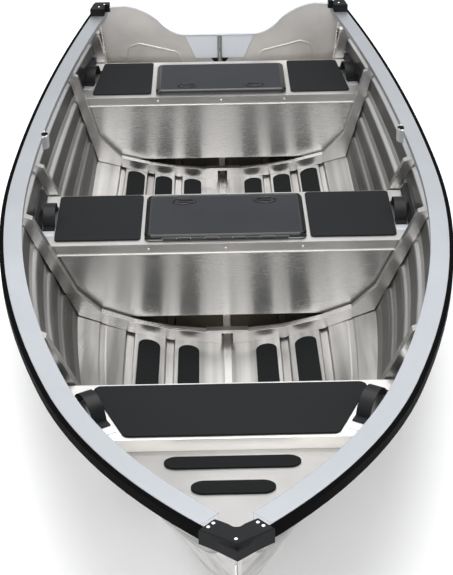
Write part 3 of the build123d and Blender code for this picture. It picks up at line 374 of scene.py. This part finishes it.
MILL_Y = mill("mill_along", (0.72, 0.71, 0.69), (40, 1.0, 40), (0.24, 0.36)).m
MILL_X = mill("mill_across", (0.70, 0.69, 0.675), (1.0, 40, 40), (0.22, 0.34)).m
MILL_TOP = mill("mill_bench_top", (0.80, 0.785, 0.765), (1.0, 30, 30), (0.3, 0.42), 0.05).m
MILL_TRANSOM = mill("mill_transom", (0.66, 0.635, 0.605), (1.0, 20, 20), (0.24, 0.42), 0.24, 0.003).m
SIDE = side_sheet_metal().m
BOTTOM = bottom_metal().m
WALL = wall_metal().m
RIB = ribbed_metal("mill_rib", (0.78, 0.765, 0.75), "Y", 0.0105).m
KEEL_BAR = ribbed_metal("mill_keel_bar", (0.80, 0.79, 0.775), "X", 0.014).m
ANOD = anodised("anodised_gunwale", (0.56, 0.585, 0.615), 0.44).m
ANOD_PLATE = anodised("anodised_plate", (0.80, 0.83, 0.87), 0.42).m
LID_MIDDLE_Y = {"mid": 0.1743, "aft": 1.6018}
HATCH = {lid: hatch_moulding("hatch_" + lid, y).m for lid, y in LID_MIDDLE_Y.items()}
CAP = plastic("cap_moulding", (0.010, 0.0105, 0.0115), 0.45, 700, 0.1, 0.09).m
STRAP = plastic("strap", (0.007, 0.0075, 0.0085), 0.42, 500, 0.1, 0.2).m
RAIL = plastic("rail_rubber", (0.0018, 0.0018, 0.002), 0.65, 400, 0.15, 0.02).m
BUSH = plastic("bush", (0.003, 0.003, 0.003), 0.6, 400, 0.1, 0.1).m
LATCH = plastic("latch", (0.004, 0.004, 0.0045), 0.2, 600, 0.05, 0.5).m
FOAM = foam("foam_bench_pad", (0.012, 0.0125, 0.0135)).m
FOAM_FLOOR = foam("foam_floor_pad", (0.0065, 0.0075, 0.0078)).m
STEEL = steel("stainless", (0.62, 0.61, 0.60), 0.14, 0.26).m
RIVET = steel("rivet", (0.93, 0.93, 0.93), 0.3, 0.4).m
BEAD = steel("weld_bead", (0.86, 0.84, 0.82), 0.22, 0.36).m

BY_NODE = {
    "hull": BOTTOM,
    "side_sheets": SIDE,
    "side_strips": STRAP,
    "strap_plates": ANOD_PLATE,
    "strap_handles": STRAP,
    "inner_keel": KEEL_BAR,
    "keel_strip": MILL_Y,
    "gunwales": ANOD,
    "rub_rail": RAIL,
    "transom": MILL_TRANSOM,
    "transom_rail": ANOD_PLATE,
    "motor_pad": ANOD_PLATE,
    "transom_tube": STEEL,
    "tube_bracket": CAP,
    "stern_caps": CAP,
    "bow_cap": CAP,
    "front_bench": MILL_TOP,
    "mid_bench": MILL_TOP,
    "aft_bench": MILL_TOP,
    "foredeck": MILL_TOP,
    "mid_locker": WALL,
    "aft_locker": WALL,
    "front_bulkhead": WALL,
    "deck_pads": FOAM_FLOOR,
    "mid_bench_pads": FOAM,
    "aft_bench_pads": FOAM,
    "front_bench_pad": FOAM,
    "floor_pads": FOAM_FLOOR,
    "side_ribs": MILL_Y,
    "floor_ribs": RIB,
    "chine_gussets": MILL_X,
    "splice_brackets": MILL_X,
    "rowlock_sockets": ANOD_PLATE,
    "bow_eye": STEEL,
}
for lid, moulding in HATCH.items():
    BY_NODE[lid + "_hatch_frame"] = moulding
    BY_NODE[lid + "_hatch_lid"] = moulding
    BY_NODE[lid + "_hatch_latches"] = LATCH
    BY_NODE[lid + "_hatch_pin"] = STEEL
for name, obj in NODES.items():
    for slot in obj.material_slots:
        slot.material = BY_NODE[name]


def add_piece(name, shape, mat, smooth=True, body="boat"):
    """Makes a mesh piece of the boat and lets it ride on a body."""
    verts, faces = shape
    me = bpy.data.meshes.new(name)
    me.from_pydata(verts, [], faces)
    bm = bmesh.new()
    bm.from_mesh(me)
    bmesh.ops.recalc_face_normals(bm, faces=bm.faces[:])
    bm.to_mesh(me)
    bm.free()
    me.polygons.foreach_set("use_smooth", [smooth] * len(me.polygons))
    me.materials.append(mat)
    obj = bpy.data.objects.new(name, me)
    SCENE.collection.objects.link(obj)
    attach(obj, body)
    return obj


def axes(normal):
    """A unit normal and two directions across it."""
    n = Vector(normal).normalized()
    a = n.orthogonal().normalized()
    return n, a, n.cross(a)


def domes(spots, radius, height, sides=14):
    """Low domed heads: spots are (place, normal)."""
    verts, faces = [], []
    rings = ((1.0, 0.0), (0.96, 0.35), (0.75, 0.75), (0.4, 0.95))
    for place, normal in spots:
        n, a, b = axes(normal)
        start = len(verts)
        for share, lift in rings:
            for k in range(sides):
                ang = 2 * math.pi * k / sides
                flat = a * math.cos(ang) + b * math.sin(ang)
                verts.append(Vector(place) + flat * radius * share + n * height * lift)
        verts.append(Vector(place) + n * height)
        for r in range(len(rings) - 1):
            for k in range(sides):
                i, j = start + r * sides + k, start + r * sides + (k + 1) % sides
                faces.append((i, j, j + sides, i + sides))
        last = start + (len(rings) - 1) * sides
        for k in range(sides):
            faces.append((last + k, last + (k + 1) % sides, len(verts) - 1))
    return verts, faces


def bead(path, radius, seed, ripple=0.22, step=0.0035, sides=8):
    """A weld bead: a rippled round bar along a path of points."""
    rng = random.Random(seed)
    pts = [Vector(p) for p in path]
    line = []
    for p, q in zip(pts, pts[1:]):
        count = max(1, round((q - p).length / step))
        line += [p.lerp(q, k / count) for k in range(count)]
    line.append(pts[-1])
    verts, faces = [], []
    for i, p in enumerate(line):
        ahead = (line[min(i + 1, len(line) - 1)] - line[max(i - 1, 0)]).normalized()
        _, a, b = axes(ahead)
        r = radius * (1 + ripple * math.sin(i * 1.9) + ripple * rng.uniform(-0.6, 0.6))
        if i in (0, len(line) - 1):
            r *= 0.3
        drift = (a * rng.uniform(-1, 1) + b * rng.uniform(-1, 1)) * radius * 0.18
        for k in range(sides):
            ang = 2 * math.pi * k / sides
            verts.append(p + drift + (a * math.cos(ang) + b * math.sin(ang)) * r)
    for i in range(len(line) - 1):
        for k in range(sides):
            u, v = i * sides + k, i * sides + (k + 1) % sides
            faces.append((u, v, v + sides, u + sides))
    faces.append(tuple(range(sides)))
    faces.append(tuple(range(len(verts) - sides, len(verts))))
    return verts, faces


def joined(parts):
    """One shape of several."""
    verts, faces = [], []
    for vs, fs in parts:
        start = len(verts)
        verts += vs
        faces += [tuple(i + start for i in f) for f in fs]
    return verts, faces


def ring(middle, half_x, half_y, thick, sides=36, around=8):
    """Oval ring that lies flat."""
    verts, faces = [], []
    for i in range(sides):
        a = 2 * math.pi * i / sides
        for k in range(around):
            b = 2 * math.pi * k / around
            out = thick * math.cos(b)
            x, y = (half_x + out) * math.cos(a), (half_y + out) * math.sin(a)
            verts.append((middle[0] + x, middle[1] + y, middle[2] + thick * math.sin(b)))
    for i in range(sides):
        for k in range(around):
            u, v = i * around, (i + 1) % sides * around
            w = (k + 1) % around
            faces.append((u + k, u + w, v + w, v + k))
    return verts, faces


def heads_on(name, places):
    """Top point and normal of a node under each place."""
    obj = NODES[name]
    found = [obj.ray_cast(Vector((x, y, 2.0)), Vector((0, 0, -1))) for x, y in places]
    return [(at, normal) for hit, at, normal, _ in found if hit]


# Cap over the bow
BOW_R = 1.75
BOW_CX, BOW_CY = -1.1214, -0.6923
CAP_LIFT = 0.0075
CAP_EDGE = [
    (0.0875, -1.990), (0.066, -2.005), (0.044, -2.020), (0.022, -2.035), (0.006, -2.0465), (0, -2.0485),
]
CAP_NOTCH = [
    (0, -1.9796), (0.0055, -1.979), (0.0105, -1.977), (0.016, -1.9725), (0.022, -1.9665), (0.037, -1.957),
    (0.052, -1.948),
]
CAP_CENTRE = Vector((0, -2.0))
CAP_BEVEL = 0.004
SKIRT_OUT = 0.018
SKIRT_LOW = 0.036
SKIRT_WIDER = 1.01
PLATE_PLAN = [(0.0835, -1.9612), (0.0400, -1.9162), (0.0405, -1.9575), (0.0545, -1.9885)]


def skirt_y(x):
    """Place along the gunwale's bow arc, moved outwards to clear the rail."""
    return BOW_CY - math.sqrt((BOW_R + SKIRT_OUT) ** 2 - (abs(x) - BOW_CX) ** 2)


def bow_cover():
    """Cap with a rounded notch, a bevelled edge and a skirt over the rail."""
    front = CAP_EDGE + [(-x, y) for x, y in reversed(CAP_EDGE[:-1])]
    back = [(-x, y) for x, y in reversed(CAP_NOTCH)] + CAP_NOTCH[1:]
    plan = front + back
    n = len(plan)
    rows = [[], [], [], []]
    for i, (x, y) in enumerate(plan):
        inner = Vector((x, y)) + (CAP_CENTRE - Vector((x, y))).normalized() * CAP_BEVEL
        top = sheer_z(y) + CAP_LIFT
        rows[0].append((inner.x, inner.y, top))
        rows[1].append((x, y, top - 0.0025))
        if i < len(front):
            low_y = min(skirt_y(x), y - 0.0005)
            rows[2].append((x * SKIRT_WIDER, low_y + 0.001, top - 0.016))
            rows[3].append((x * SKIRT_WIDER, low_y, sheer_z(y) - SKIRT_LOW))
        else:
            rows[2].append((x, y, top - 0.005))
            rows[3].append((x, y, sheer_z(y) + 0.0004))
    verts = [v for row in rows for v in row]
    faces = [tuple(range(n)), tuple(range(3 * n, 4 * n))]
    for k in range(3):
        for i in range(n):
            j = (i + 1) % n
            faces.append((k * n + i, k * n + j, (k + 1) * n + j, (k + 1) * n + i))
    return verts, faces


def bow_plate(side):
    """Flat plate that carries a gunwale's top under the cap."""
    n = len(PLATE_PLAN)
    verts = [(side * x, y, sheer_z(y) - drop) for drop in (0.0001, 0.003) for x, y in PLATE_PLAN]
    faces = [tuple(range(n)), tuple(range(n, 2 * n))]
    faces += [(i, (i + 1) % n, n + (i + 1) % n, n + i) for i in range(n)]
    return verts, faces


cover = add_piece("bow_cap_cover", bow_cover(), CAP, smooth=False)
plates = joined([bow_plate(1), bow_plate(-1)])
add_piece("bow_cap_plates", plates, ANOD, smooth=False)
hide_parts("bow_cap")

# Rivets and screws
BOW_RIVETS = [
    (-0.0536, -1.9664), (-0.0654, -1.9807), (-0.0024, -2.0293), (0.0494, -1.9662), (0.0616, -1.9802),
]
STERN_SCREWS = [(0.590, 2.004), (0.566, 2.036)]
LIP_ROWS = ((-0.0285, (0, 0.285, 0.655)), (1.3935, (0, 0.292, 0.642)))
LIP_RIVET_Z = 0.3125

bow_spots = [((x, y, sheer_z(y) + CAP_LIFT - 0.0002), (0, 0, 1)) for x, y in BOW_RIVETS]
stern_spots = heads_on("stern_caps", STERN_SCREWS + [(-x, y) for x, y in STERN_SCREWS])
add_piece("cap_rivets", domes(bow_spots + stern_spots, 0.0048, 0.0022), RIVET)
lip_places = [(x, y, LIP_RIVET_Z) for y, xs in LIP_ROWS for x in xs]
lip_places += [(-x, y, z) for x, y, z in lip_places if x]
lip_spots = [(place, (0, -1, 0)) for place in lip_places]
add_piece("lip_rivets", domes(lip_spots, 0.0045, 0.002), RIVET)

# Weld beads down the transom's two sides, as (x, z)
TRANSOM_SEAM = [(0.600, 0.50), (0.588, 0.42), (0.574, 0.30), (0.558, 0.20), (0.542, 0.11)]
TRANSOM_TOP = (2.0385, 0.529)
TRANSOM_SLOPE = 0.1763
SEAM_SEED = 11


def on_transom(x, z):
    """Place on the transom's inner face, or in its plane beside it."""
    hit, at, _, _ = NODES["transom"].ray_cast(Vector((x, 1.7, z)), Vector((0, 1, 0)))
    plane_y = TRANSOM_TOP[0] + TRANSOM_SLOPE * (z - TRANSOM_TOP[1])
    return (x, at.y - 0.0005 if hit else plane_y, z)


def seam(side):
    return bead([on_transom(side * x, z) for x, z in TRANSOM_SEAM], 0.0042, SEAM_SEED + side)


add_piece("transom_welds", joined([seam(1), seam(-1)]), BEAD)

# Rowlock brackets: a weld bead round each and a bush in it
SOCKET = (0.718, 0.588, 0.5099)
BRACKET_SEED = 21
BUSH_SIDES = 28
BUSH_PROFILE = ((0.0135, 0.0), (0.0135, 0.0045), (0.0085, 0.0045), (0.0075, 0.001))


def bracket_weld(side):
    x, y, z = SOCKET
    turns = [math.pi * k / 10 for k in range(11)]
    arc = [
        (side * (x + 0.007 - 0.021 * math.sin(t)), y + 0.030 * math.cos(t), z + 0.001) for t in turns
    ]
    return bead(arc, 0.0028, BRACKET_SEED + side)


def bush(side):
    x, y, z = SOCKET
    verts, faces = [], []
    for r, lift in BUSH_PROFILE:
        for k in range(BUSH_SIDES):
            a = 2 * math.pi * k / BUSH_SIDES
            verts.append((side * (x - 0.002) + r * math.cos(a), y + r * math.sin(a), z + lift))
    rows = len(BUSH_PROFILE) - 1
    for row in range(rows):
        for k in range(BUSH_SIDES):
            i, j = row * BUSH_SIDES + k, row * BUSH_SIDES + (k + 1) % BUSH_SIDES
            faces.append((i, j, j + BUSH_SIDES, i + BUSH_SIDES))
    faces.append(tuple(range(rows * BUSH_SIDES, len(verts))))
    return verts, faces


add_piece("rowlock_welds", joined([bracket_weld(1), bracket_weld(-1)]), BEAD)
add_piece("rowlock_bushes", joined([bush(1), bush(-1)]), BUSH)

# Raised rims round the latches, and the screws of the front strap plates
LATCH_X, LATCH_Z = 0.160, 0.3496
LATCH_Y = {"mid": 0.288, "aft": 1.488}
LATCH_HALF = (0.040, 0.024)
STRAP_SCREW = (0.368, -1.1726)

for lid, latch_y in LATCH_Y.items():
    rims = [ring((x, latch_y, LATCH_Z), *LATCH_HALF, 0.0032) for x in (LATCH_X, -LATCH_X)]
    add_piece(lid + "_latch_rims", joined(rims), LATCH, body=lid + "_lid")
strap_screws = heads_on("strap_plates", [STRAP_SCREW, (-STRAP_SCREW[0], STRAP_SCREW[1])])
add_piece("strap_screws", domes(strap_screws, 0.0045, 0.002), RIVET)


FLOOR_STEPS = 64
FLOOR_REACH = 60


def waterline_outline():
    """Half-breadths of the hull where it meets the water, from the hull node."""
    bm = bmesh.new()
    bm.from_mesh(NODES["hull"].data)
    geom = bm.verts[:] + bm.edges[:] + bm.faces[:]
    cut = bmesh.ops.bisect_plane(bm, geom=geom, plane_co=(0, 0, 0), plane_no=(0, 0, 1))
    lines = [e for e in cut["geom_cut"] if isinstance(e, bmesh.types.BMEdge)]
    ends = [tuple(v.co.copy() for v in e.verts) for e in lines]
    bm.free()
    y0 = min(p.y for pair in ends for p in pair)
    y1 = max(p.y for pair in ends for p in pair)
    outline = []
    for i in range(FLOOR_STEPS + 1):
        y = y0 + 0.002 + (y1 - y0 - 0.004) * i / FLOOR_STEPS
        widest = 0.008
        for p, q in ends:
            if min(p.y, q.y) <= y <= max(p.y, q.y) and p.y != q.y:
                t = (y - p.y) / (q.y - p.y)
                widest = max(widest, abs(p.x + (q.x - p.x) * t))
        outline.append((widest + 0.001, y))
    outline[0] = (0.013, y0 - 0.016)
    outline[-1] = (outline[-2][0], y1 + 0.007)
    return outline


def make_floor():
    """Wide pale floor at the waterline, open where the hull goes through it."""
    side = waterline_outline()
    inner = side + [(-x, y) for x, y in reversed(side)]
    bm = bmesh.new()
    near = [bm.verts.new((x, y, 0)) for x, y in inner]
    far = []
    for x, y in inner:
        d = Vector((x, y * 0.35)).normalized()
        far.append(bm.verts.new((d.x * FLOOR_REACH, d.y * FLOOR_REACH, 0)))
    n = len(near)
    for i in range(n):
        j = (i + 1) % n
        bm.faces.new((near[i], far[i], far[j], near[j]))
    bmesh.ops.recalc_face_normals(bm, faces=bm.faces[:])
    me = bpy.data.meshes.new("floor")
    bm.to_mesh(me)
    bm.free()
    obj = bpy.data.objects.new("floor", me)
    SCENE.collection.objects.link(obj)
    m = Mat("floor", (0.97, 0.97, 0.97), 0.9)
    m.color(m.ramp(m.noise(0.7), [(0.3, (0.965, 0.965, 0.965)), (0.7, (0.98, 0.98, 0.98))]))
    me.materials.append(m.m)


make_floor()


def area(name, at, target, size, energy, size_y=None):
    """Soft light, square unless it is given a second side."""
    light = bpy.data.lights.new(name, "AREA")
    light.energy = energy
    light.size = size
    if size_y:
        light.shape = "RECTANGLE"
        light.size_y = size_y
    obj = bpy.data.objects.new(name, light)
    SCENE.collection.objects.link(obj)
    obj.location = at
    obj.rotation_euler = (Vector(target) - Vector(at)).to_track_quat("-Z", "Y").to_euler()


area("top", (0, 0.5, 5.5), (0, 0.2, 0), 4.0, 330, size_y=6.0)
area("left", (-5, -2.0, 3.5), (0, 0, 0.2), 3.0, 100)
area("right", (5, 1.0, 3.0), (0, 0, 0.2), 3.0, 70)
area("front", (0, -6.5, 3.0), (0, -1, 0.2), 3.0, 70)


def make_world():
    """Pale studio, brighter overhead."""
    world = bpy.data.worlds.new("studio")
    SCENE.world = world
    world.use_nodes = True
    tree = world.node_tree
    coord = tree.nodes.new("ShaderNodeTexCoord")
    split = tree.nodes.new("ShaderNodeSeparateXYZ")
    ramp = tree.nodes.new("ShaderNodeValToRGB")
    ramp.color_ramp.elements.new(0.25)
    stops = ((0.0, (0.60, 0.60, 0.61)), (0.25, (0.64, 0.65, 0.67)), (1.0, (1.0, 1.0, 1.0)))
    for e, (pos, col) in zip(ramp.color_ramp.elements, stops):
        e.position = pos
        e.color = (*col, 1)
    tree.links.new(coord.outputs["Generated"], split.inputs[0])
    tree.links.new(split.outputs["Z"], ramp.inputs["Fac"])
    back = tree.nodes["Background"]
    tree.links.new(ramp.outputs["Color"], back.inputs["Color"])
    back.inputs["Strength"].default_value = 0.85


make_world()
SCENE.view_settings.view_transform = "Standard"
